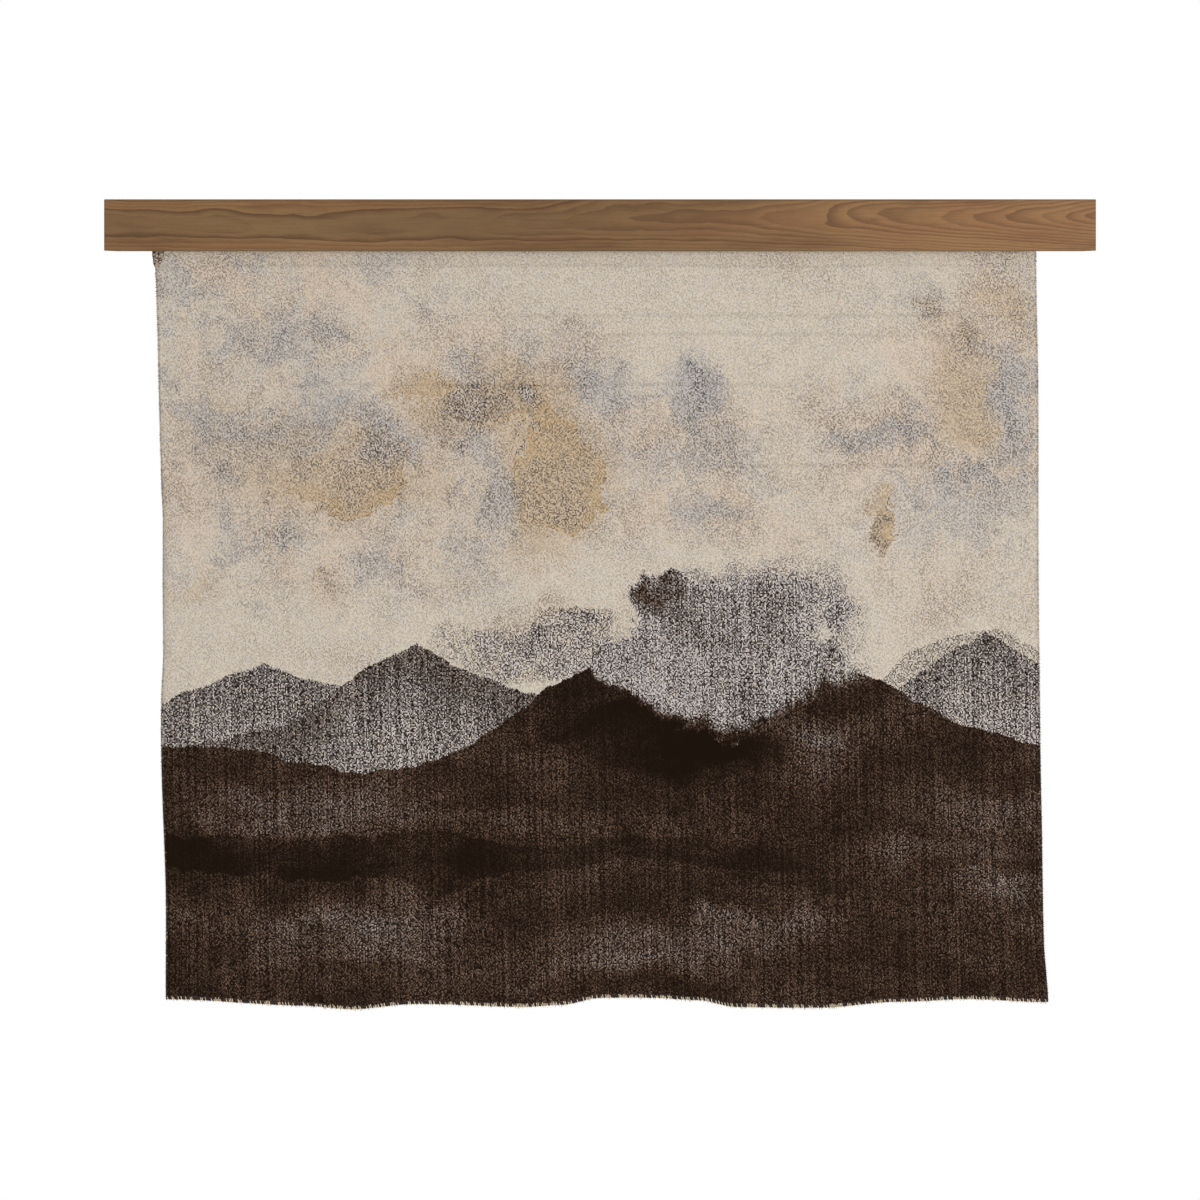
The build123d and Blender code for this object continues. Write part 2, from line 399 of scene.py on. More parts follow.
SAND_PATCHES = (
    (-0.46, 0.87, 0.16, 0.09, 0.75),
    (-0.34, 0.80, 0.11, 0.06, 0.9),
    (-0.22, 0.91, 0.12, 0.06, 0.8),
    (-0.12, 0.95, 0.11, 0.06, 0.85),
    (-0.08, 0.86, 0.12, 0.11, 1.0),
    (-0.07, 0.74, 0.08, 0.08, 0.8),
    (0.57, 0.95, 0.07, 0.09, 0.9),
    (0.64, 1.08, 0.05, 0.06, 0.6),
    (-0.60, 0.64, 0.10, 0.04, 0.4),
)
CLOUDED_SKY = (
    (-0.50, 0.98, 0.26, 0.24, 1.0),
    (-0.26, 0.86, 0.26, 0.20, 0.9),
    (-0.46, 0.70, 0.24, 0.10, 0.8),
    (0.10, 0.84, 0.20, 0.13, 0.7),
    (0.56, 0.90, 0.17, 0.22, 0.9),
    (0.38, 0.72, 0.22, 0.08, 0.5),
)
CRISP_STAINS = (
    (-0.390, 0.815, 0.100, 0.075, 1.0),
    (-0.275, 0.950, 0.070, 0.028, 0.9),
    (-0.060, 0.810, 0.100, 0.090, 0.9),
    (-0.130, 0.900, 0.090, 0.070, 0.8),
    (0.430, 0.740, 0.030, 0.055, 0.8),
)
DARK_SPOTS = (
    (-0.195, 0.915, 0.050, 0.035, 1.0),
    (-0.230, 0.880, 0.030, 0.020, 0.7),
    (-0.100, 0.930, 0.030, 0.045, 0.5),
    (0.432, 0.722, 0.018, 0.028, 0.9),
    (-0.100, 0.545, 0.018, 0.026, 1.0),
    (-0.030, 0.590, 0.040, 0.012, 0.8),
)


def sky(p):
    """The sky's tone and the colour of its light yarns: cream, clouded with beige, blue-grey and ochre."""
    shade = p.patchy(p.blots(SHADE_PATCHES, 0.8), p.cloud, 0.52, 0.82)
    blue = p.patchy(p.blots(BLUE_PATCHES, 0.9), p.wisp, 0.66, 0.92)
    sand = p.patchy(p.blots(SAND_PATCHES, 0.8), p.scud, 0.60, 0.90)
    pool = p.blots(CRISP_STAINS, 0.55)
    level = p.add(p.wisp, p.mul(pool, 0.45))
    beside = [(x + 0.45 * wide, h - 0.5 * tall, wide, tall, 1.0) for x, h, wide, tall, _ in CRISP_STAINS]
    lee = p.blots(beside, 0.75)
    stain = p.mul(p.ramp(level, 0.785, 0.80), p.ramp(level, 0.95, 0.81), lee)
    rim = p.mul(p.ramp(p.absolute(p.sub(level, 0.799)), 0.014, 0.0), pool, lee)
    halo = p.mul(p.ramp(level, 0.70, 0.775), p.ramp(level, 0.79, 0.78), lee)
    spots = p.mul(p.patchy(p.blots(DARK_SPOTS, 0.6), p.scud, 0.66, 0.80), 0.9)
    veins = p.ramp(p.absolute(p.sub(p.cloud, 0.5)), 0.03, 0.0)
    clouded = p.blots(CLOUDED_SKY, 0.6)
    warm = p.mul(p.ramp(p.veil, 0.52, 0.58), clouded)
    cool = p.mul(p.ramp(p.veil, 0.475, 0.415), clouded)
    light = p.mix(shade, CREAM, BEIGE)
    light = p.mix(p.mul(warm, 0.6), light, PEACH)
    light = p.mix(p.mul(cool, 0.6), light, BLUE_GREY)
    light = p.mix(p.mul(sand, 0.75), light, SAND)
    light = p.mix(p.mul(blue, 0.8), light, BLUE_GREY)
    bleed = p.mul(p.ramp(level, 0.785, 0.87, 0.0, 0.6), p.add(0.35, p.mul(lee, 0.65)))
    light = p.mix(bleed, light, SAND)
    light = p.mix(p.mul(stain, 0.95), light, OCHRE)
    light = p.mix(p.mul(spots, 0.8), light, TAUPE)
    tone = p.add(
        0.045,
        p.mul(p.ramp(p.grain, 0.4, 0.75), 0.035),
        p.mul(shade, p.add(0.045, p.mul(veins, 0.03))),
        p.mul(shade, p.ramp(p.grain, 0.35, 0.7), 0.05),
        p.mul(p.most(blue, cool), 0.05),
        p.mul(warm, -0.02),
        p.about(p.cloud, p.add(0.03, p.mul(shade, 0.12))),
        p.about(p.wisp, p.add(0.03, p.mul(shade, 0.08))),
        p.mul(spots, 0.15),
        p.ramp(level, 0.785, 0.90, 0.0, 0.045),
    )
    tone = p.mul(tone, p.ramp(stain, 0.0, 1.0, 1.0, 0.72))
    tone = p.add(tone, p.sub(p.mul(rim, 0.36), p.mul(halo, 0.045)))
    return tone, light


# Hazy ranges: (seed, jag, tone at the crest, tone at the foot, points along the ridge).
FAR_RANGES = (
    (4.0, 0.03, 0.24, 0.28, (
        (-0.7, 0.3), (0.36, 0.40), (0.47, 0.54), (0.55, 0.565), (0.62, 0.575), (0.7, 0.53),
    )),
    (11.0, 0.035, 0.62, 0.53, (
        (-0.7, 0.445), (-0.61, 0.49), (-0.52, 0.522), (-0.42, 0.49), (-0.2, 0.45), (0.2, 0.3), (0.7, 0.2),
    )),
    (17.0, 0.035, 0.71, 0.54, (
        (-0.7, 0.38), (-0.48, 0.43), (-0.36, 0.52), (-0.285, 0.552), (-0.19, 0.505), (-0.08, 0.47),
        (0.7, 0.2),
    )),
    (29.0, 0.035, 0.64, 0.50, (
        (-0.7, 0.2), (0.3, 0.35), (0.45, 0.475), (0.53, 0.53), (0.595, 0.57), (0.64, 0.545), (0.7, 0.51),
    )),
)
LOW_MIST = (
    (-0.09, 0.535, 0.13, 0.045, 1.0),
    (-0.04, 0.575, 0.09, 0.030, 0.8),
    (0.02, 0.54, 0.06, 0.04, 0.7),
)
CLOUD_BODY = (
    (0.130, 0.602, 0.068, 0.062, 1.0),
    (0.220, 0.570, 0.080, 0.070, 1.0),
    (0.085, 0.510, 0.090, 0.060, 1.0),
    (0.205, 0.475, 0.150, 0.095, 1.0),
)
CLOUD_SPRAY = (
    (0.215, 0.605, 0.075, 0.070, 1.0),
    (0.270, 0.585, 0.075, 0.080, 1.0),
    (0.325, 0.565, 0.065, 0.080, 1.0),
    (0.345, 0.530, 0.050, 0.055, 1.0),
)
CLOUD_HEAVY = (
    (0.120, 0.612, 0.060, 0.050, 1.0),
    (0.165, 0.570, 0.060, 0.035, 0.7),
    (0.350, 0.555, 0.020, 0.045, 0.5),
)
NEAR_RIDGE = (
    (-0.7, 0.395), (-0.57, 0.392), (-0.36, 0.355), (-0.26, 0.37), (-0.154, 0.43), (-0.085, 0.485),
    (0.0, 0.522), (0.061, 0.484), (0.2, 0.445), (0.269, 0.472), (0.345, 0.522), (0.43, 0.498),
    (0.55, 0.43), (0.7, 0.385),
)
SHORE = ((-0.7, 0.25), (-0.4, 0.26), (-0.26, 0.268), (-0.1, 0.238), (0.15, 0.255), (0.3, 0.235), (0.7, 0.2))
WATER = (
    (-0.7, 0.205), (-0.45, 0.19), (-0.34, 0.205), (-0.26, 0.165), (-0.18, 0.2), (0.1, 0.215), (0.7, 0.19),
)
BLACK_GROUND = (
    (0.09, 0.400, 0.16, 0.055, 0.13),
    (-0.02, 0.470, 0.06, 0.040, 0.07),
    (0.36, 0.475, 0.08, 0.035, 0.08),
    (0.30, 0.300, 0.16, 0.040, 0.03),
)
PALE_BANKS = (
    (-0.46, 0.305, 0.22, 0.050, 0.07),
    (-0.12, 0.280, 0.12, 0.030, 0.07),
    (0.33, 0.400, 0.05, 0.040, 0.09),
    (0.46, 0.230, 0.14, 0.030, 0.05),
    (0.59, 0.190, 0.09, 0.022, 0.11),
    (-0.33, 0.180, 0.06, 0.016, 0.05),
    (0.56, 0.320, 0.16, 0.050, 0.04),
    (0.25, 0.110, 0.14, 0.035, 0.10),
    (-0.40, 0.110, 0.20, 0.035, 0.10),
    (-0.02, 0.075, 0.20, 0.040, 0.08),
)


def far_mountains(p, tone):
    """The hazy ranges behind the dark mountain, each darkest along its crest and lost in mist below."""
    for seed, jag, crest, foot, points in FAR_RANGES:
        inside, depth = p.ridge(points, jag, seed)
        hazed = p.add(depth, p.about(p.cloud, 0.12))
        body = p.add(p.ramp(hazed, 0.0, 0.13, crest, foot), p.about(p.grain, 0.25))
        tone = p.blend(inside, tone, body)
    return tone


def low_mist(p, tone):
    """Thin grey mist that hangs behind the main peak's left shoulder."""
    mist = p.patchy(p.blots(LOW_MIST, 0.7), p.wisp, 0.60, 0.86)
    return p.add(tone, p.mul(mist, p.ramp(p.grain, 0.3, 0.7, 0.16, 0.34)))


def rising_cloud(p):
    """The heavy cloud that stands in the saddle: where it is, and its tone."""
    ragged = p.ramp(p.add(p.wisp, p.about(p.grain, 0.5)), 0.28, 0.56)
    where = p.most(p.blots(CLOUD_BODY, 0.06), p.mul(p.blots(CLOUD_SPRAY, 0.45), ragged))
    heavy = p.mul(p.blots(CLOUD_HEAVY, 0.5), 0.22)
    return where, p.add(0.445, heavy, p.about(p.grain, 0.55), p.about(p.wisp, 0.45), p.about(p.cloud, 0.5))


def dark_mountain(p):
    """The near mountain and the plain below it: where it is, how deep inside, and its tone."""
    inside, depth = p.ridge(NEAR_RIDGE, jag=0.035, seed=23.0)
    banks = p.noise(p.scaled(p.drift, (0.6, 1.7, 1), (1.0, 4.0, 2.0)), 7.0, 5.0, 0.6)
    tone = p.add(p.ramp(banks, 0.36, 0.64, 0.89, 0.80), p.about(p.grain, 0.10), p.blots(BLACK_GROUND, 0.5))
    tone = p.sub(tone, p.blots(PALE_BANKS, 0.6))
    shore, _ = p.ridge(SHORE, jag=0.05, seed=37.0, soft=3 * MM)
    water, _ = p.ridge(WATER, jag=0.06, seed=41.0, soft=2 * MM)
    fade = p.ramp(p.x, -0.05, 0.45, 0.075, 0.015)
    return inside, depth, p.add(tone, p.mul(shore, p.sub(1.0, water), fade))


def landscape(p):
    """The picture's tone, from 0 light to 1 dark, and the colour of its light yarns."""
    tone, light = sky(p)
    tone = far_mountains(p, tone)
    tone = p.math("MINIMUM", low_mist(p, tone), 0.7)
    cloud, cloud_tone = rising_cloud(p)
    tone = p.blend(cloud, tone, cloud_tone)
    inside, depth, dark_tone = dark_mountain(p)
    sunk = p.ramp(p.add(depth, p.about(p.grain, 0.08)), 0.0, 0.05)
    dark_tone = p.blend(cloud, dark_tone, p.blend(sunk, cloud_tone, dark_tone))
    tone = p.blend(inside, tone, dark_tone)
    light = p.mix(p.ramp(tone, 0.22, 0.36), light, MOON_GREY)
    light = p.mix(p.mul(cloud, p.ramp(tone, 0.6, 0.4, 0.2, 0.85)), light, LILAC_GREY)
    light = p.mix(p.ramp(tone, 0.62, 0.84), light, PEAT)
    return tone, light


def weave(p):
    """Fine warp ribs crossed by picks: each woven cell's place, and the relief of the surface."""
    wobble = p.about(p.noise(p.flat, 60.0, 1.0), 0.7)
    across = p.add(p.mul(p.x, 1 / RIB), wobble)
    up = p.mul(p.h, 1 / PICK)
    rib = p.math("SINE", p.mul(p.math("FRACT", across), math.pi))
    pick = p.math("SINE", p.mul(p.math("FRACT", up), math.pi))
    return p.vector(across, up), p.mul(rib, p.add(0.45, p.mul(pick, 0.55)))


def painted_crease_shade(p):
    """Painted shade along the storage creases: faint darker level lines across the cloth's upper part,
    where it was folded in storage.
    """
    total = 0.0
    for below, start, end, _ in CREASES:
        away = p.absolute(p.sub(p.add(p.h, p.about(p.cloud, 12 * MM)), DROP - below))
        reach = p.mul(p.ramp(p.x, start - 0.1, start + 0.1), p.ramp(p.x, end + 0.1, end - 0.1))
        total = p.add(total, p.mul(p.ramp(away, 5 * MM, 0.0), reach))
    return total


def tapestry_cloth(name, reverse=False):
    """Jacquard cloth in two yarns, speckled cell by cell. The reverse shows the picture's negative."""
    p = Picture(name)
    tone, light = landscape(p)
    if reverse:
        tone = p.sub(0.30, p.mul(tone, 0.16))
        light = p.mix(0.6, light, REVERSE_TAUPE)
    cell, relief = weave(p)
    single = p.sub(p.chance(cell), 0.5)
    beside = p.chance(p.shifted(cell, (1.0, 0.0, 0.0)))
    above = p.chance(p.shifted(cell, (0.0, 1.0, 0.0)))
    even = p.sub(single, p.mul(p.sub(p.add(beside, above), 1.0), 0.22))
    pairs = p.about(p.chance(p.scaled(cell, (0.5, 0.34, 1), (40.0, 13.0, 3.0))), 0.1)
    column = p.chance(p.scaled(cell, (1, 0.015, 1), (7.0, 0.0, 9.0)))
    column = p.about(column, p.ramp(tone, 0.15, 0.6, 0.25, 0.85))
    speckle = p.add(p.mul(even, 2.7), pairs, column)
    contrast = p.mul(tone, p.sub(1.0, tone), p.ramp(tone, 0.2, 0.9, 1.85, 1.6))
    contrast = p.add(contrast, p.ramp(tone, 0.0, 0.9, 0.03, 0.0))
    spotted = p.most(p.add(tone, p.mul(speckle, contrast)), 0.0)
    spotted = p.math("MINIMUM", spotted, 1.0)
    clear = p.sub(1.0, spotted)
    dye = p.chance(p.scaled(cell, (1, 0.5, 1), (21.0, 5.0, 6.0)))
    light = p.mix(1.0, light, p.mix(dye, WARM_LOT, COOL_LOT), "MULTIPLY")
    colour = p.mix(p.mul(clear, clear), BLACK_BROWN, light)
    # Painted shade: the colour is darkened in the gaps between the warp ribs and picks, and along the
    # storage creases.
    shade = p.mul(p.add(0.93, p.mul(relief, 0.10)), p.sub(1.0, p.mul(painted_crease_shade(p), 0.10)))
    colour = p.mix(1.0, colour, p.vector(shade, shade, shade), "MULTIPLY")

    fibre = p.streaks(p.flat, (3200.0, 900.0, 1.0), 2.0)
    normal = p.bump(p.add(relief, p.mul(single, 0.5), p.mul(fibre, 0.25)), 0.35 * MM, 0.6)
    roughness = p.ramp(fibre, 0.2, 0.8, 0.84, 0.97)
    gloss = {"Specular_IOR_Level": 0.08, "Specular_Tint": WARM_GLOSS}
    sheen = {"Sheen_Weight": 0.02, "Sheen_Roughness": 0.5, "Sheen_Tint": WARM_GLOSS}
    return p.finish(colour, roughness, normal, **gloss, **sheen)


# ---- other materials

def wood(name, axes, tones, rings, fade, seed):
    """Wood as growth rings round a leaning pith, with pores and fibres along the board.

    axes are the board's length, width and thickness, as 0, 1, 2. tones are (light, deep, red, late).
    rings is (distance behind the face, lean, bend, height, spacing), where height is a pair for the
    board's two ends; fade is the rings' contrast at those ends.
    """
    g = Graph(name)
    place = g.parts(g.object_place())
    length, width, thick = (place[axis] for axis in axes)
    board = g.vector(length, width, thick)
    away, lean, bend, height, spacing = rings
    sway = g.sub(g.streaks(board, (3.2, 9.0, 0.0), 2.0, seed=seed), 0.5)
    wave = g.sub(g.streaks(board, (14.0, 40.0, 0.0), 3.0, seed=seed + 3.0), 0.5)
    right = g.most(g.add(length, 0.12), 0.0)
    deep = g.sub(g.add(thick, away), g.mul(length, lean))
    deep = g.sub(deep, g.mul(right, right, bend))
    high = g.sub(width, g.ramp(length, -0.3, 0.3, height[0], height[1]))
    high = g.add(high, g.mul(sway, 0.03))
    radius = g.math("SQRT", g.add(g.mul(deep, deep), g.mul(high, high)))
    radius = g.add(radius, g.mul(sway, 0.018), g.mul(wave, 0.0045))
    count = g.mul(radius, 1 / spacing)
    part = g.math("FRACT", count)
    which = g.chance(g.vector(count, seed))
    calm = g.mul(g.ramp(g.absolute(high), 0.014, 0.009), g.ramp(length, 0.12, -0.15))
    late = g.mul(
        g.ramp(part, 0.12, 0.94),
        g.ramp(part, 1.0, 0.92),
        g.ramp(which, 0.1, 0.9, 0.35, 0.8),
        g.sub(1.0, g.mul(calm, 0.75)),
        g.ramp(length, -0.35, 0.3, fade[0], fade[1]),
    )
    fibre = g.streaks(board, (16.0, 520.0, 520.0), 4.0, 0.65)
    pores = g.ramp(g.streaks(board, (120.0, 1500.0, 1500.0), 1.0), 0.62, 0.72)
    cloud = g.streaks(board, (4.0, 22.0, 0.0), 3.0, 0.6, seed + 9.0)
    shadow = g.streaks(board, (5.0, 26.0, 0.0), 4.0, 0.6, seed + 14.0)
    cool = g.ramp(g.absolute(g.add(high, g.mul(wave, 0.02))), 0.026, 0.016)
    light, dusky, red, late_tone = tones
    colour = g.mix(g.ramp(cloud, 0.38, 0.66), light, red)
    cool = g.mul(cool, g.ramp(length, 0.25, -0.2, 0.0, 0.6))
    colour = g.mix(cool, colour, dusky)
    colour = g.mix(g.ramp(shadow, 0.48, 0.72, 0.0, 0.45), colour, late_tone)
    colour = g.mix(late, colour, late_tone)
    colour = g.mix(g.mul(g.ramp(fibre, 0.42, 0.78), 0.30), colour, late_tone)
    colour = g.mix(g.mul(pores, 0.30), colour, late_tone)
    normal = g.bump(g.sub(g.mul(fibre, 0.5), pores), 0.10 * MM, 0.6)
    rough = g.add(g.ramp(fibre, 0.3, 0.8, 0.45, 0.6), g.mul(pores, 0.2))
    return g, colour, rough, normal


WALNUT_LATE = srgb(92, 62, 36)
WALNUT = (srgb(151, 118, 82), srgb(128, 105, 75), srgb(147, 109, 76), WALNUT_LATE)


def walnut_face():
    """The face board: dusky at the left with long soft lines, golden at the right with nested arches."""
    rings = (0.112, 0.006, 0.036, (0.018, 0.031), 3.1 * MM)
    g, colour, rough, normal = wood("walnut_face", (0, 2, 1), WALNUT, rings, (1.0, 0.85), 2.0)
    place = g.parts(g.object_place())
    sway = g.about(g.noise(g.object_place(), 4.0, 3.0), 0.4)
    gold = g.ramp(g.add(place[0], sway), 0.0, 0.7)
    colour = g.mix(gold, colour, srgb(255, 246, 236), "MULTIPLY")
    lower = g.ramp(place[2], face_low.z + 3 * MM, face_low.z + 0.5 * MM)
    colour = g.mix(g.mul(lower, 0.35), colour, srgb(132, 110, 62))
    # Painted shade: a darker band along the top edge stands in for the shadow on its eased arris.
    upper = g.ramp(place[2], face_high.z - 2.5 * MM, face_high.z - 0.8 * MM)
    colour = g.mix(g.mul(upper, 0.4), colour, WALNUT_LATE)
    dim = g.mix(g.ramp(place[0], -0.5, -0.1), srgb(222, 214, 196), srgb(207, 199, 178))
    dim = g.mix(g.ramp(place[0], 0.05, 0.6), dim, srgb(240, 236, 224))
    colour = g.mix(1.0, colour, dim, "MULTIPLY")
    return g.finish(colour, rough, normal, Specular_IOR_Level=0.25)


def walnut_board(name, axes, seed):
    rings = (0.09, 0.02, 0.0, (0.01, 0.01), 3.8 * MM)
    g, colour, rough, normal = wood(name, axes, WALNUT, rings, (0.6, 0.6), seed)
    colour = g.mix(1.0, colour, srgb(232, 230, 228), "MULTIPLY")
    return g.finish(colour, rough, normal, Specular_IOR_Level=0.25)


def pale_wood(name, light, deep, late, spacing, seed):
    rings = (0.07, 0.015, 0.0, (0.02, 0.02), spacing)
    g, colour, rough, normal = wood(name, (0, 2, 1), (light, deep, deep, late), rings, (0.6, 0.6), seed)
    return g.finish(colour, g.add(rough, 0.15), normal, Specular_IOR_Level=0.25)


def drawn_aluminium():
    """Extruded bar: fine die lines along its length, with a few rubbed scratches."""
    g = Graph("drawn_aluminium")
    place = g.object_place()
    lines = g.streaks(place, (3.0, 2600.0, 2600.0), 3.0)
    rub = g.ramp(g.streaks(place, (18.0, 240.0, 240.0), 5.0, 0.7), 0.5, 0.75)
    colour = g.mix(lines, srgb(196, 197, 199), srgb(222, 223, 224))
    colour = g.mix(g.mul(rub, 0.4), colour, srgb(168, 168, 170))
    roughness = g.ramp(lines, 0.2, 0.8, 0.28, 0.46)
    normal = g.bump(lines, 0.03 * MM, 0.5)
    return g.finish(colour, roughness, normal, metallic=1.0)


def zinc_steel():
    """Zinc-plated fasteners, with a faint yellow bloom."""
    g = Graph("zinc_steel")
    place = g.object_place()
    bloom = g.noise(place, 260.0, 4.0)
    fine = g.noise(place, 2600.0, 3.0)
    colour = g.mix(bloom, srgb(188, 189, 190), srgb(214, 208, 186))
    roughness = g.ramp(fine, 0.3, 0.7, 0.26, 0.48)
    return g.finish(colour, roughness, g.bump(fine, 0.02 * MM, 0.4), metallic=1.0)


def yarn(name, pale, deep, seed):
    """Spun cotton thread: twist lines, fibre fuzz and uneven dye."""
    g = Graph(name)
    place = g.shifted(g.object_place(), (seed, 0, 0))
    dye = g.noise(place, 160.0, 3.0)
    twist = g.streaks(place, (2600.0, 1200.0, 1800.0), 2.0)
    colour = g.mix(g.ramp(dye, 0.3, 0.7), deep, pale)
    colour = g.mix(g.mul(g.ramp(twist, 0.4, 0.75), 0.35), colour, deep)
    roughness = g.ramp(twist, 0.2, 0.8, 0.8, 0.96)
    return g.finish(colour, roughness, g.bump(twist, 0.15 * MM, 0.8), Sheen_Weight=0.2)


def tape_fabric():
    """Narrow woven nylon with a looped pile."""
    g = Graph("tape_fabric")
    place = g.object_place()
    pile = g.streaks(place, (1500.0, 900.0, 1500.0), 2.0)
    rows = g.math("SINE", g.mul(g.parts(place)[2], 2 * math.pi / (1.3 * MM)))
    height = g.add(pile, g.mul(rows, 0.15))
    colour = g.mix(g.ramp(pile, 0.3, 0.7), srgb(206, 200, 186), srgb(232, 228, 216))
    return g.finish(colour, g.ramp(pile, 0.2, 0.8, 0.6, 0.85), g.bump(height, 0.3 * MM, 0.8))


def felt():
    """Pressed wool felt: matted fibres with a soft nap."""
    g = Graph("felt")
    place = g.object_place()
    mat = g.noise(place, 900.0, 6.0, 0.75)
    nap = g.streaks(place, (2400.0, 700.0, 1100.0), 3.0)
    colour = g.mix(g.ramp(mat, 0.35, 0.65), srgb(74, 62, 54), srgb(112, 98, 86))
    normal = g.bump(g.add(mat, g.mul(nap, 0.5)), 0.3 * MM, 0.9)
    return g.finish(colour, g.ramp(nap, 0.2, 0.8, 0.88, 0.98), normal, Sheen_Weight=0.3)


def satin_label():
    """Blank woven satin label, with a fine diagonal weave."""
    g = Graph("satin_label")
    place = g.parts(g.object_place())
    diagonal = g.mul(g.add(place[0], place[2]), 2 * math.pi / (0.5 * MM))
    twill = g.math("SINE", diagonal)
    fuzz = g.noise(g.object_place(), 700.0, 3.0)
    colour = g.mix(fuzz, srgb(226, 222, 212), srgb(240, 237, 229))
    roughness = g.ramp(fuzz, 0.3, 0.7, 0.38, 0.6)
    return g.finish(colour, roughness, g.bump(twill, 0.04 * MM, 0.5), Sheen_Weight=0.2)


# ---- mesh building

def mesh_piece(name, points, faces, materials, indices=None, flat=None):
    """A mesh object from points and faces, smooth shaded, with an optional flat-cloth UV map."""
    mesh = bpy.data.meshes.new(name)
    mesh.from_pydata([tuple(p) for p in points], [], [tuple(f) for f in faces])
    for material in materials:
        mesh.materials.append(material)
    if indices is not None:
        mesh.polygons.foreach_set("material_index", np.asarray(indices, np.int32))
    mesh.polygons.foreach_set("use_smooth", np.ones(len(mesh.polygons), bool))
    if flat is not None:
        layer = mesh.uv_layers.new(name="flat")
        corner = np.empty(len(mesh.loops), np.int32)
        mesh.loops.foreach_get("vertex_index", corner)
        layer.data.foreach_set("uv", np.asarray(flat, np.float32)[corner].ravel())
    mesh.update()
    piece = bpy.data.objects.new(name, mesh)
    bpy.context.scene.collection.objects.link(piece)
    return piece


def tube(path, radius):
    """Points and faces of a round thread along a path, closed at both ends."""
    sides = 6
    path = np.asarray(path, float)
    radius = np.broadcast_to(np.asarray(radius, float), (len(path),))
    along = np.gradient(path, axis=0)
    along /= np.linalg.norm(along, axis=1)[:, None] + 1e-12
    reference = np.where(np.abs(along[:, 1:2]) < 0.9, [[0.0, 1.0, 0.0]], [[1.0, 0.0, 0.0]])
    side = np.cross(along, reference)
    side /= np.linalg.norm(side, axis=1)[:, None] + 1e-12
    other = np.cross(along, side)
    turn = np.linspace(0, 2 * math.pi, sides, endpoint=False)
    ring = np.cos(turn)[None, :, None] * side[:, None] + np.sin(turn)[None, :, None] * other[:, None]
    points = (path[:, None] + ring * radius[:, None, None]).reshape(-1, 3)
    faces = []
    for step in range(len(path) - 1):
        for k in range(sides):
            a = step * sides + k
            b = step * sides + (k + 1) % sides
            faces.append((a, b, b + sides, a + sides))
    faces.append(tuple(range(sides))[::-1])
    last = (len(path) - 1) * sides
    faces.append(tuple(range(last, last + sides)))
    return points, faces


def join_tubes(name, threads, materials):
    """One piece from many threads. Each thread is (path, radius, material index)."""
    points, faces, indices = [], [], []
    count = 0
    for path, radius, index in threads:
        p, f = tube(path, radius)
        points.append(p)
        faces += [tuple(i + count for i in face) for face in f]
        indices += [index] * len(f)
        count += len(p)
    return mesh_piece(name, np.concatenate(points), faces, materials, indices)


# ---- how the cloth hangs

# How far the bottom edge hangs below or above its mean, in mm, at places across the cloth in metres.
EDGE_DROP = (
    (-0.679, -6), (-0.47, 3), (-0.39, 8), (-0.30, 1), (-0.13, 5), (-0.07, 2), (-0.01, -8),
    (0.07, -8), (0.14, -5), (0.20, 5), (0.33, 6), (0.45, -2), (0.56, -7), (0.679, -2),
)

# Soft folds that open towards the bottom: (place across, half width in metres, depth in mm).
FOLDS = (
    (-0.58, 0.10, -7),
    (-0.39, 0.09, 15),
    (-0.23, 0.08, -8),
    (-0.10, 0.07, 11),
    (0.04, 0.09, -14),
    (0.27, 0.11, 15),
    (0.44, 0.08, -9),
    (0.60, 0.07, 10),
)

# Storage creases: (distance below the header, start, end across in metres, height in mm).
CREASES = (
    (0.022, -0.55, 0.60, 0.9),
    (0.099, -0.20, 0.62, 0.8),
    (0.128, 0.02, 0.50, 0.5),
    (0.206, -0.45, 0.30, 0.6),
    (0.330, 0.20, 0.64, 0.4),
)

# How far each side edge stands to the right of an even cloth, in mm, at distances below the header.
LEFT_EDGE = ((0, 0), (0.17, 2.3), (0.35, 4), (0.56, 1), (0.78, -2.2), (1.0, 1.7), (1.16, -0.5))
RIGHT_EDGE = ((0, -1), (0.23, 2.6), (0.61, 0.4), (0.85, -1.2), (1.06, -3), (1.16, 1))


def smooth(value, low, high):
    t = np.clip((value - low) / (high - low), 0, 1)
    return t * t * (3 - 2 * t)


def eased_through(places, values, at):
    """A wave through the given points, level at each of them."""
    places = np.asarray(places, float)
    values = np.asarray(values, float)
    k = np.clip(np.searchsorted(places, at) - 1, 0, len(places) - 2)
    t = smooth(at, places[k], places[k + 1])
    return values[k] * (1 - t) + values[k + 1] * t


def hang(s, d):
    """Where the flat cloth's point s across and d below the header's edge hangs, as x, y and z."""
    fall = np.clip(d / DROP, 0, 1)
    x = CLOTH_CENTRE + DRIFT * fall**1.6 + s * (1 - 0.004 * np.sin(math.pi * fall))
    for side, table in ((-1, LEFT_EDGE), (1, RIGHT_EDGE)):
        near = 1 - smooth(HALF - side * s, 0.0, 0.12)
        x += near * eased_through(*zip(*table), np.clip(d, 0, DROP)) * MM
    z = HINGE.z - d
    drop = eased_through(*zip(*EDGE_DROP), s) * MM
    z -= drop * smooth(fall, 0.35, 1.0)
    y = np.full_like(s, CLOTH_PLANE)
    for place, reach, depth in FOLDS:
        wide = reach * (1.25 - 0.25 * fall)
        y -= depth * MM * np.exp(-(((s - place) / wide) ** 2)) * smooth(fall, 0.02, 1.0) ** 1.4
    for below, start, end, height in CREASES:
        run = smooth(s, start - 0.12, start + 0.12) * (1 - smooth(s, end - 0.12, end + 0.12))
        wander = 2.5 * MM * np.sin(s * 9 + below * 40)
        y -= height * MM * run * np.exp(-(((d - below - wander) / (5 * MM)) ** 2))
    y -= 0.5 * MM * np.sin(s * 61 + d * 7) * np.sin(d * 23 + s * 5) * smooth(d, 0.0, 0.1)
    x, y = turned_edges(x, y, s, d)
    return x, y, z


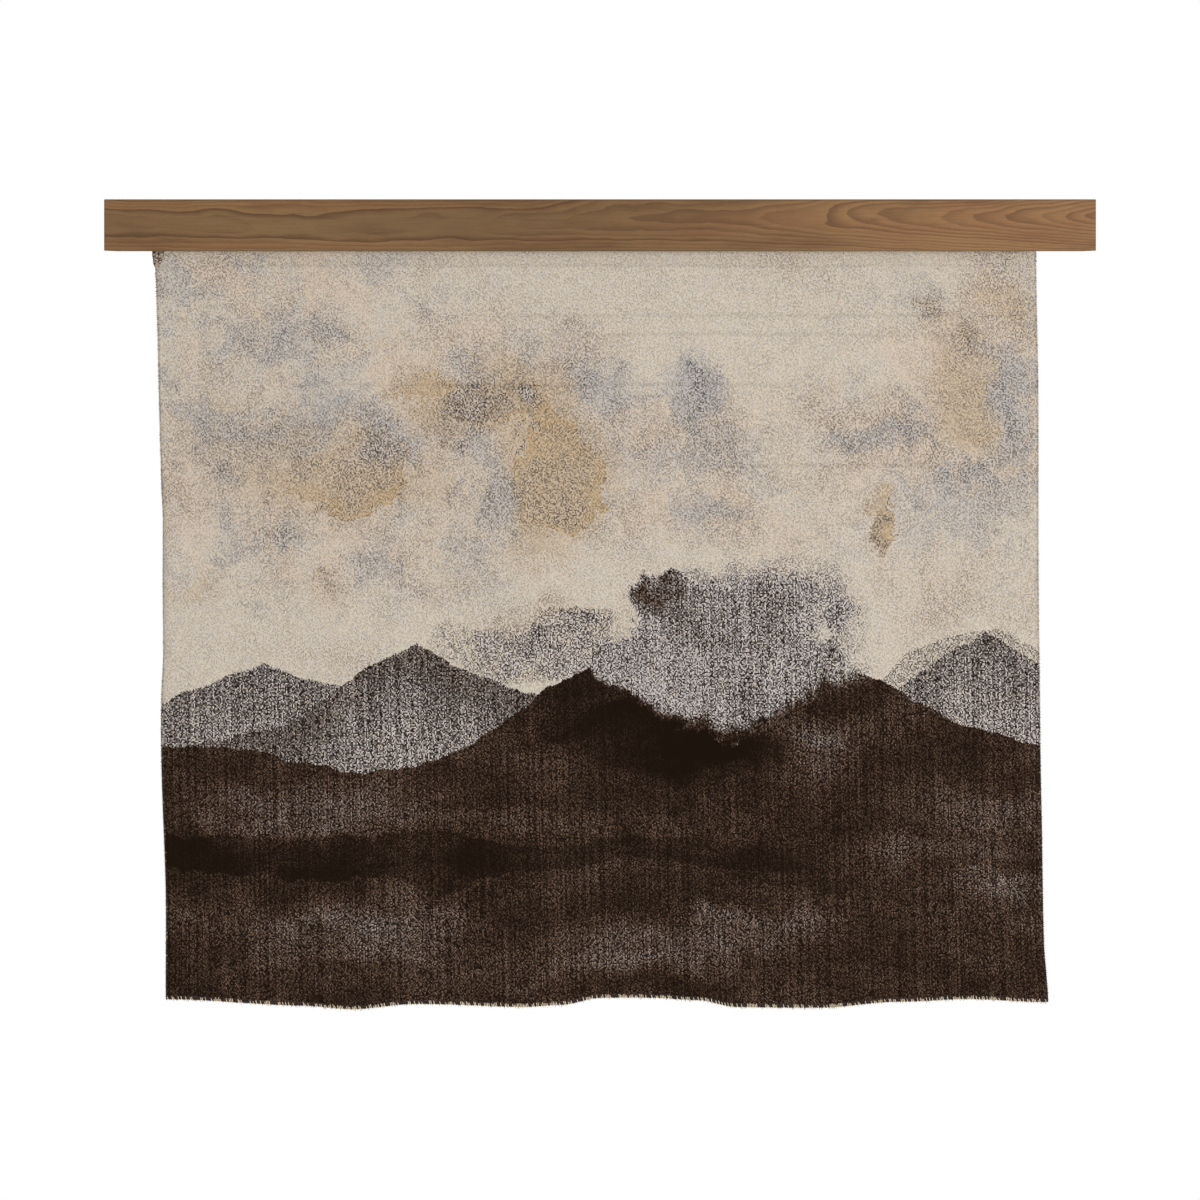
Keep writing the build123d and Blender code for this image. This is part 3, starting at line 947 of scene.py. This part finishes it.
def turned_edges(x, y, s, d):
    """Turns the left edge back a little at mid height, and folds the top left corner forward."""
    edge = s + HALF
    reach = 14 * MM
    back = smooth(d, 0.30, 0.42) * (1 - smooth(d, 0.62, 0.74))
    inward = np.clip(1 - edge / reach, 0, 1)
    bend = 0.9 * back * inward
    x = x + back * inward * reach * 0.5 * (1 - np.cos(bend))
    y = y + reach * inward * np.sin(bend) * 0.6
    curl = (1 - smooth(d, 4 * MM, 42 * MM)) * smooth(d, -5 * MM, -1 * MM)
    x = x - 24 * MM * curl * (1 - smooth(edge, 24 * MM, 110 * MM))
    radius = 0.9 * MM
    turned = np.clip(20 * MM * curl - edge, 0, None)
    angle = np.minimum(turned / radius, math.pi)
    flap = np.clip(turned - math.pi * radius, 0, None)
    x = x + turned - radius * np.sin(angle) + flap
    return x, y - radius * (1 - np.cos(angle))


class Hanging:
    """The hung cloth as a grid of points, which threads and labels are laid on."""

    def __init__(self, step):
        self.s = np.linspace(-HALF, HALF, int(round(CLOTH_WIDTH / step)) + 1)
        self.d = np.linspace(-HIDDEN, DROP, int(round((DROP + HIDDEN) / step)) + 1)
        s, d = np.meshgrid(self.s, self.d)
        self.points = np.stack(hang(s, d), axis=-1)
        toward_room = np.cross(np.gradient(self.points, axis=0), np.gradient(self.points, axis=1))
        self.normals = toward_room / np.linalg.norm(toward_room, axis=-1, keepdims=True)

    def at(self, s, d, lift):
        """Points on the cloth, lifted towards the room. Past an edge they go straight on."""
        s, d, lift = (np.asarray(value, float) for value in (s, d, lift))
        s, d, lift = np.broadcast_arrays(s, d, lift)
        i = np.clip((s - self.s[0]) / (self.s[1] - self.s[0]), 0, len(self.s) - 1.001)
        j = np.clip((d - self.d[0]) / (self.d[1] - self.d[0]), 0, len(self.d) - 1.001)
        place = self.between(self.points, i, j) + self.between(self.normals, i, j) * lift[..., None]
        place[..., 0] += s - np.clip(s, self.s[0], self.s[-1])
        place[..., 2] -= np.clip(d - self.d[-1], 0, None)
        return place

    def between(self, grid, i, j):
        """A grid's value at columns i and rows j, which need not be whole numbers."""
        i0, j0 = i.astype(int), j.astype(int)
        u, v = (i - i0)[..., None], (j - j0)[..., None]
        top = grid[j0, i0] * (1 - u) + grid[j0, i0 + 1] * u
        low = grid[j0 + 1, i0] * (1 - u) + grid[j0 + 1, i0 + 1] * u
        return top * (1 - v) + low * v


def two_sided(front, back):
    """Points and faces of a closed sheet from two grids of points: front, then back, then the rim."""
    rows, columns = front.shape[:2]
    number = np.arange(rows * columns).reshape(rows, columns)
    a, b, c, d = number[:-1, :-1], number[:-1, 1:], number[1:, 1:], number[1:, :-1]
    near = np.stack([a, d, c, b], -1).reshape(-1, 4)
    far = np.stack([a, b, c, d], -1).reshape(-1, 4) + number.size
    rim = np.concatenate([number[0, :], number[1:, -1], number[-1, -2::-1], number[-2:0:-1, 0]])
    ahead = np.roll(rim, -1)
    edge = np.stack([rim, ahead, ahead + number.size, rim + number.size], -1)
    points = np.concatenate([front.reshape(-1, 3), back.reshape(-1, 3)])
    return points, np.concatenate([near, far, edge])


def woven_cloth(hanging):
    """The cloth itself: a front face, a back face and the cut edges between them."""
    offset = hanging.normals * CLOTH_THICK / 2
    points, faces = two_sided(hanging.points + offset, hanging.points - offset)
    one_side = (len(hanging.s) - 1) * (len(hanging.d) - 1)
    indices = np.zeros(len(faces), int)
    indices[one_side : 2 * one_side] = 1
    s, down = np.meshgrid(hanging.s, hanging.d)
    flat = np.stack([s, DROP - down], -1).reshape(-1, 2)
    materials = [tapestry_cloth("tapestry_front"), tapestry_cloth("tapestry_back", reverse=True)]
    return mesh_piece("tapestry_cloth", points, faces, materials, indices, np.concatenate([flat, flat]))


# ---- threads at the cloth's edges

def overlock_threads(hanging, cream, brown):
    """The serged bottom edge: slanted stitches that wrap it, in cream and brown, and their needle row."""
    pitch = 2.3 * MM
    tall = 5.0 * MM
    lean = 2.0 * MM
    radius = 0.5 * MM
    surface = CLOTH_THICK / 2 + 0.8 * radius
    draw = np.random.default_rng(31)
    threads = []
    for stitch in range(int((CLOTH_WIDTH - lean) / pitch)):
        start = -HALF + stitch * pitch
        reach = tall * draw.uniform(0.55, 1.1)
        loose = draw.uniform(0.0, 0.5) * MM
        across = start + lean * np.array([0.0, 0.25, 0.5, 0.62, 0.7, 0.8, 1.0])
        up = np.array([reach, 0.6 * reach, 0.4 * MM, -0.7 * MM, -0.7 * MM, 0.4 * MM, 0.8 * reach])
        outer = surface + loose
        lift = np.array([0.8 * surface, outer, outer, 0.5 * surface, -0.5 * surface, -surface, -surface])
        threads.append((hanging.at(across, DROP - up, lift), radius, int(draw.uniform() > 0.58)))
        needle = start + pitch * np.array([0.05, 0.5, 0.95])
        level = np.array([0.3, 1.0, 0.3]) * surface
        threads.append((hanging.at(needle, DROP - tall, level), 0.8 * radius, 1))
    return join_tubes("bottom_overlock_threads", threads, [cream, brown])


def cut_yarn_ends(hanging, cream, brown):
    """Warp ends that were cut below the overlock and have fluffed out."""
    draw = np.random.default_rng(57)
    threads = []
    s = -HALF + 2 * MM
    while s < HALF - 2 * MM:
        length = draw.uniform(0.8, 3.6) * MM
        lean = draw.uniform(-1.6, 1.6) * MM
        lift = draw.uniform(-0.8, 1.2) * MM
        share = np.linspace(0, 1, 4)
        path = hanging.at(s + lean * share**2, DROP - 1.5 * MM + (length + 1.5 * MM) * share, lift * share)
        radius = 0.46 * MM * (1 - 0.5 * share)
        threads.append((path, radius, int(draw.uniform() > 0.6)))
        s += draw.uniform(0.9, 3.4) * MM
    return join_tubes("cut_yarn_ends", threads, [cream, brown])


def selvedge_loops(hanging, side, cream, brown):
    """Weft turns along a side edge: small loops that stand out where each pick turns back."""
    draw = np.random.default_rng(71 + side)
    threads = []
    d = 3 * MM
    while d < DROP - 5 * MM:
        out = draw.uniform(0.3, 1.3) * MM
        surface = CLOTH_THICK / 2
        rise = draw.uniform(0.6, 1.4) * MM
        inward = np.array([2.6 * MM, 1.0 * MM, -out, 1.0 * MM, 2.6 * MM])
        lift = np.array([0.6, 1.1, 0.0, -1.1, -0.6]) * surface
        down = d + np.linspace(0, rise, 5)
        path = hanging.at(side * (HALF - inward), down, lift)
        pale = draw.uniform() < np.interp(d / DROP, [0, 0.55, 0.65, 1], [0.55, 0.5, 0.12, 0.1])
        threads.append((path, 0.48 * MM, 0 if pale else 1))
        d += draw.uniform(1.9, 4.2) * MM
    name = "selvedge_right" if side > 0 else "selvedge_left"
    return join_tubes(name, threads, [cream, brown])


def heading_stitches(hanging, cream):
    """Two rows of machine stitching that sew the loop tape to the cloth's heading."""
    tape_low, tape_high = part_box("loop_tape")
    inset = 4 * MM
    margin = 8 * MM
    pitch = 4 * MM
    lift = CLOTH_THICK / 2 + 0.15 * MM
    height = np.array([lift - 0.5 * MM, lift, lift, lift, lift - 0.5 * MM])
    threads = []
    for z in (tape_low.z + inset, tape_high.z - inset):
        for stitch in range(int((CLOTH_WIDTH - 2 * margin) / pitch)):
            s = margin - HALF + (stitch + np.array([0.12, 0.3, 0.5, 0.7, 0.88])) * pitch
            threads.append((hanging.at(s, HINGE.z - z, height), 0.3 * MM, 0))
    return join_tubes("heading_stitches", threads, [cream])


def care_label(hanging, cream):
    """The blank label, lying on the cloth's back, sewn down at both ends and bowed between them."""
    low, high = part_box("care_label")
    centre = (low + high) / 2
    width = high.x - low.x
    height = high.z - low.z
    thick = 0.35 * MM
    across, up = np.meshgrid(np.linspace(-0.5, 0.5, 25), np.linspace(0.5, -0.5, 15))
    fall = np.clip((HINGE.z - centre.z) / DROP, 0, 1)
    middle = centre.x - CLOTH_CENTRE - DRIFT * fall
    s = middle + across * width
    d = HINGE.z - centre.z - up * height
    bow = 1.6 * MM * np.cos(math.pi * across) ** 2 * (1 - 0.3 * up)
    away = CLOTH_THICK / 2 + 0.05 * MM + bow
    points, faces = two_sided(hanging.at(s, d, -away), hanging.at(s, d, -(away + thick)))
    label = mesh_piece("blank_care_label", points, faces, [satin_label()])
    threads = []
    stitches = 9
    lift = -(CLOTH_THICK / 2 + np.array([0.3, 0.75, 0.3]) * MM)
    for end in (-0.46, 0.46):
        for k in range(stitches):
            share = (k + np.array([0.15, 0.5, 0.85])) / stitches - 0.5
            path = hanging.at(middle + end * width, HINGE.z - centre.z - share * height, lift)
            threads.append((path, 0.2 * MM, 0))
    return label, join_tubes("label_stitches", threads, [cream])


# ---- tapes and pads

def gridded_block(counts):
    """Points, from 0 to 1 each way, and outward faces of a block whose sides are cut into a grid.

    turn is which way round the corners run on the lower of a pair of sides.
    """
    seen, faces = {}, []
    for side, u, v, turn in ((1, 0, 2, 1), (2, 0, 1, -1), (0, 1, 2, -1)):
        for i in range(counts[u]):
            for j in range(counts[v]):
                loop = ((i, j), (i + 1, j), (i + 1, j + 1), (i, j + 1))
                for level, order in ((0, loop[::turn]), (counts[side], loop[::-turn])):
                    keys = [(*corner[:side], level, *corner[side:]) for corner in order]
                    faces.append([seen.setdefault(key, len(seen)) for key in keys])
    return np.array(list(seen)) / counts, faces


def soft_strip(name, node, material, rounding, roughen, step):
    """A soft strip in a CAD node's space: its thin edges pinched and its faces gently uneven."""
    low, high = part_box(node)
    size = np.array(high - low)
    unit, faces = gridded_block([max(1, int(round(side / step))) for side in size])
    place = np.array(low) + unit * size
    rim = np.minimum(unit, 1 - unit) * size
    pinch = rounding * (1 - smooth(np.minimum(rim[:, 0], rim[:, 2]), 0, 3 * rounding))
    toward = np.sign(0.5 - unit[:, 1])
    draw = np.random.default_rng(len(name))
    place[:, 1] += toward * (pinch + draw.uniform(0, roughen, len(place)))
    return mesh_piece(name, place, faces, [material])


# ---- putting it together

def finish_hardware():
    """Gives the CAD parts that stay as they are their materials."""
    poplar_tones = (srgb(206, 195, 160), srgb(193, 182, 146), srgb(162, 144, 108))
    pine_tones = (srgb(222, 190, 140), srgb(212, 178, 126), srgb(176, 128, 78))
    looks = (
        (walnut_face(), ("face_board",)),
        (walnut_board("walnut_top", (0, 1, 2), 5.0), ("top_board",)),
        (walnut_board("walnut_ends", (1, 2, 0), 8.0), ("end_return_left", "end_return_right")),
        (pale_wood("poplar", *poplar_tones, 4.5 * MM, 12.0), ("hanging_rail",)),
        (pale_wood("pine", *pine_tones, 3.0 * MM, 15.0), ("corner_block_left", "corner_block_right")),
        (drawn_aluminium(), ("header_cleat", "wall_cleat")),
        (zinc_steel(), ("rail_pocket_screws", "tape_staples", "header_cleat_screws")),
    )
    for material, nodes in looks:
        for node in nodes:
            slots = frame["nodes"][node].data.materials
            slots.clear()
            slots.append(material)


def finish_soft_parts():
    """Builds the cloth, its edges, the label, the tapes and the pads."""
    hanging = Hanging(5.9 * MM)
    cream = yarn("cream_yarn", srgb(206, 188, 158), srgb(160, 134, 104), 0.0)
    brown = yarn("brown_yarn", srgb(66, 44, 30), srgb(30, 19, 12), 2.0)

    cloth = woven_cloth(hanging)
    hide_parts("cloth_heading", "cloth_panel")
    edges = [selvedge_loops(hanging, side, cream, brown) for side in (-1, 1)]
    for piece in (cloth, *edges):
        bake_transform(piece)

    bleached = yarn("bleached_yarn", srgb(246, 232, 206), srgb(216, 194, 160), 4.0)
    overlock = overlock_threads(hanging, bleached, brown)
    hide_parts("bottom_overlock")
    ends = cut_yarn_ends(hanging, bleached, brown)
    label, label_sewing = care_label(hanging, cream)
    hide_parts("care_label")
    for piece, slot in ((overlock, "overlock_thread"), (ends, "overlock_thread"), (label, "label_tape")):
        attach(piece, "cloth")
    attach(label_sewing, "cloth")

    stitches = heading_stitches(hanging, cream)
    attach(stitches, "header")

    nylon = tape_fabric()
    for node in ("hook_tape", "loop_tape"):
        tape = soft_strip(node + "_woven", node, nylon, 0.3 * MM, 0.12 * MM, 2.5 * MM)
        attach(tape, "header")
        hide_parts(node)
    wool = felt()
    for node in ("wall_pad_left", "wall_pad_right"):
        pad = soft_strip(node + "_felt", node, wool, 0.4 * MM, 0.1 * MM, 0.75 * MM)
        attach(pad, "header")
        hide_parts(node)


make_camera()
make_world()
make_lights()
make_floor()
finish_hardware()
finish_soft_parts()
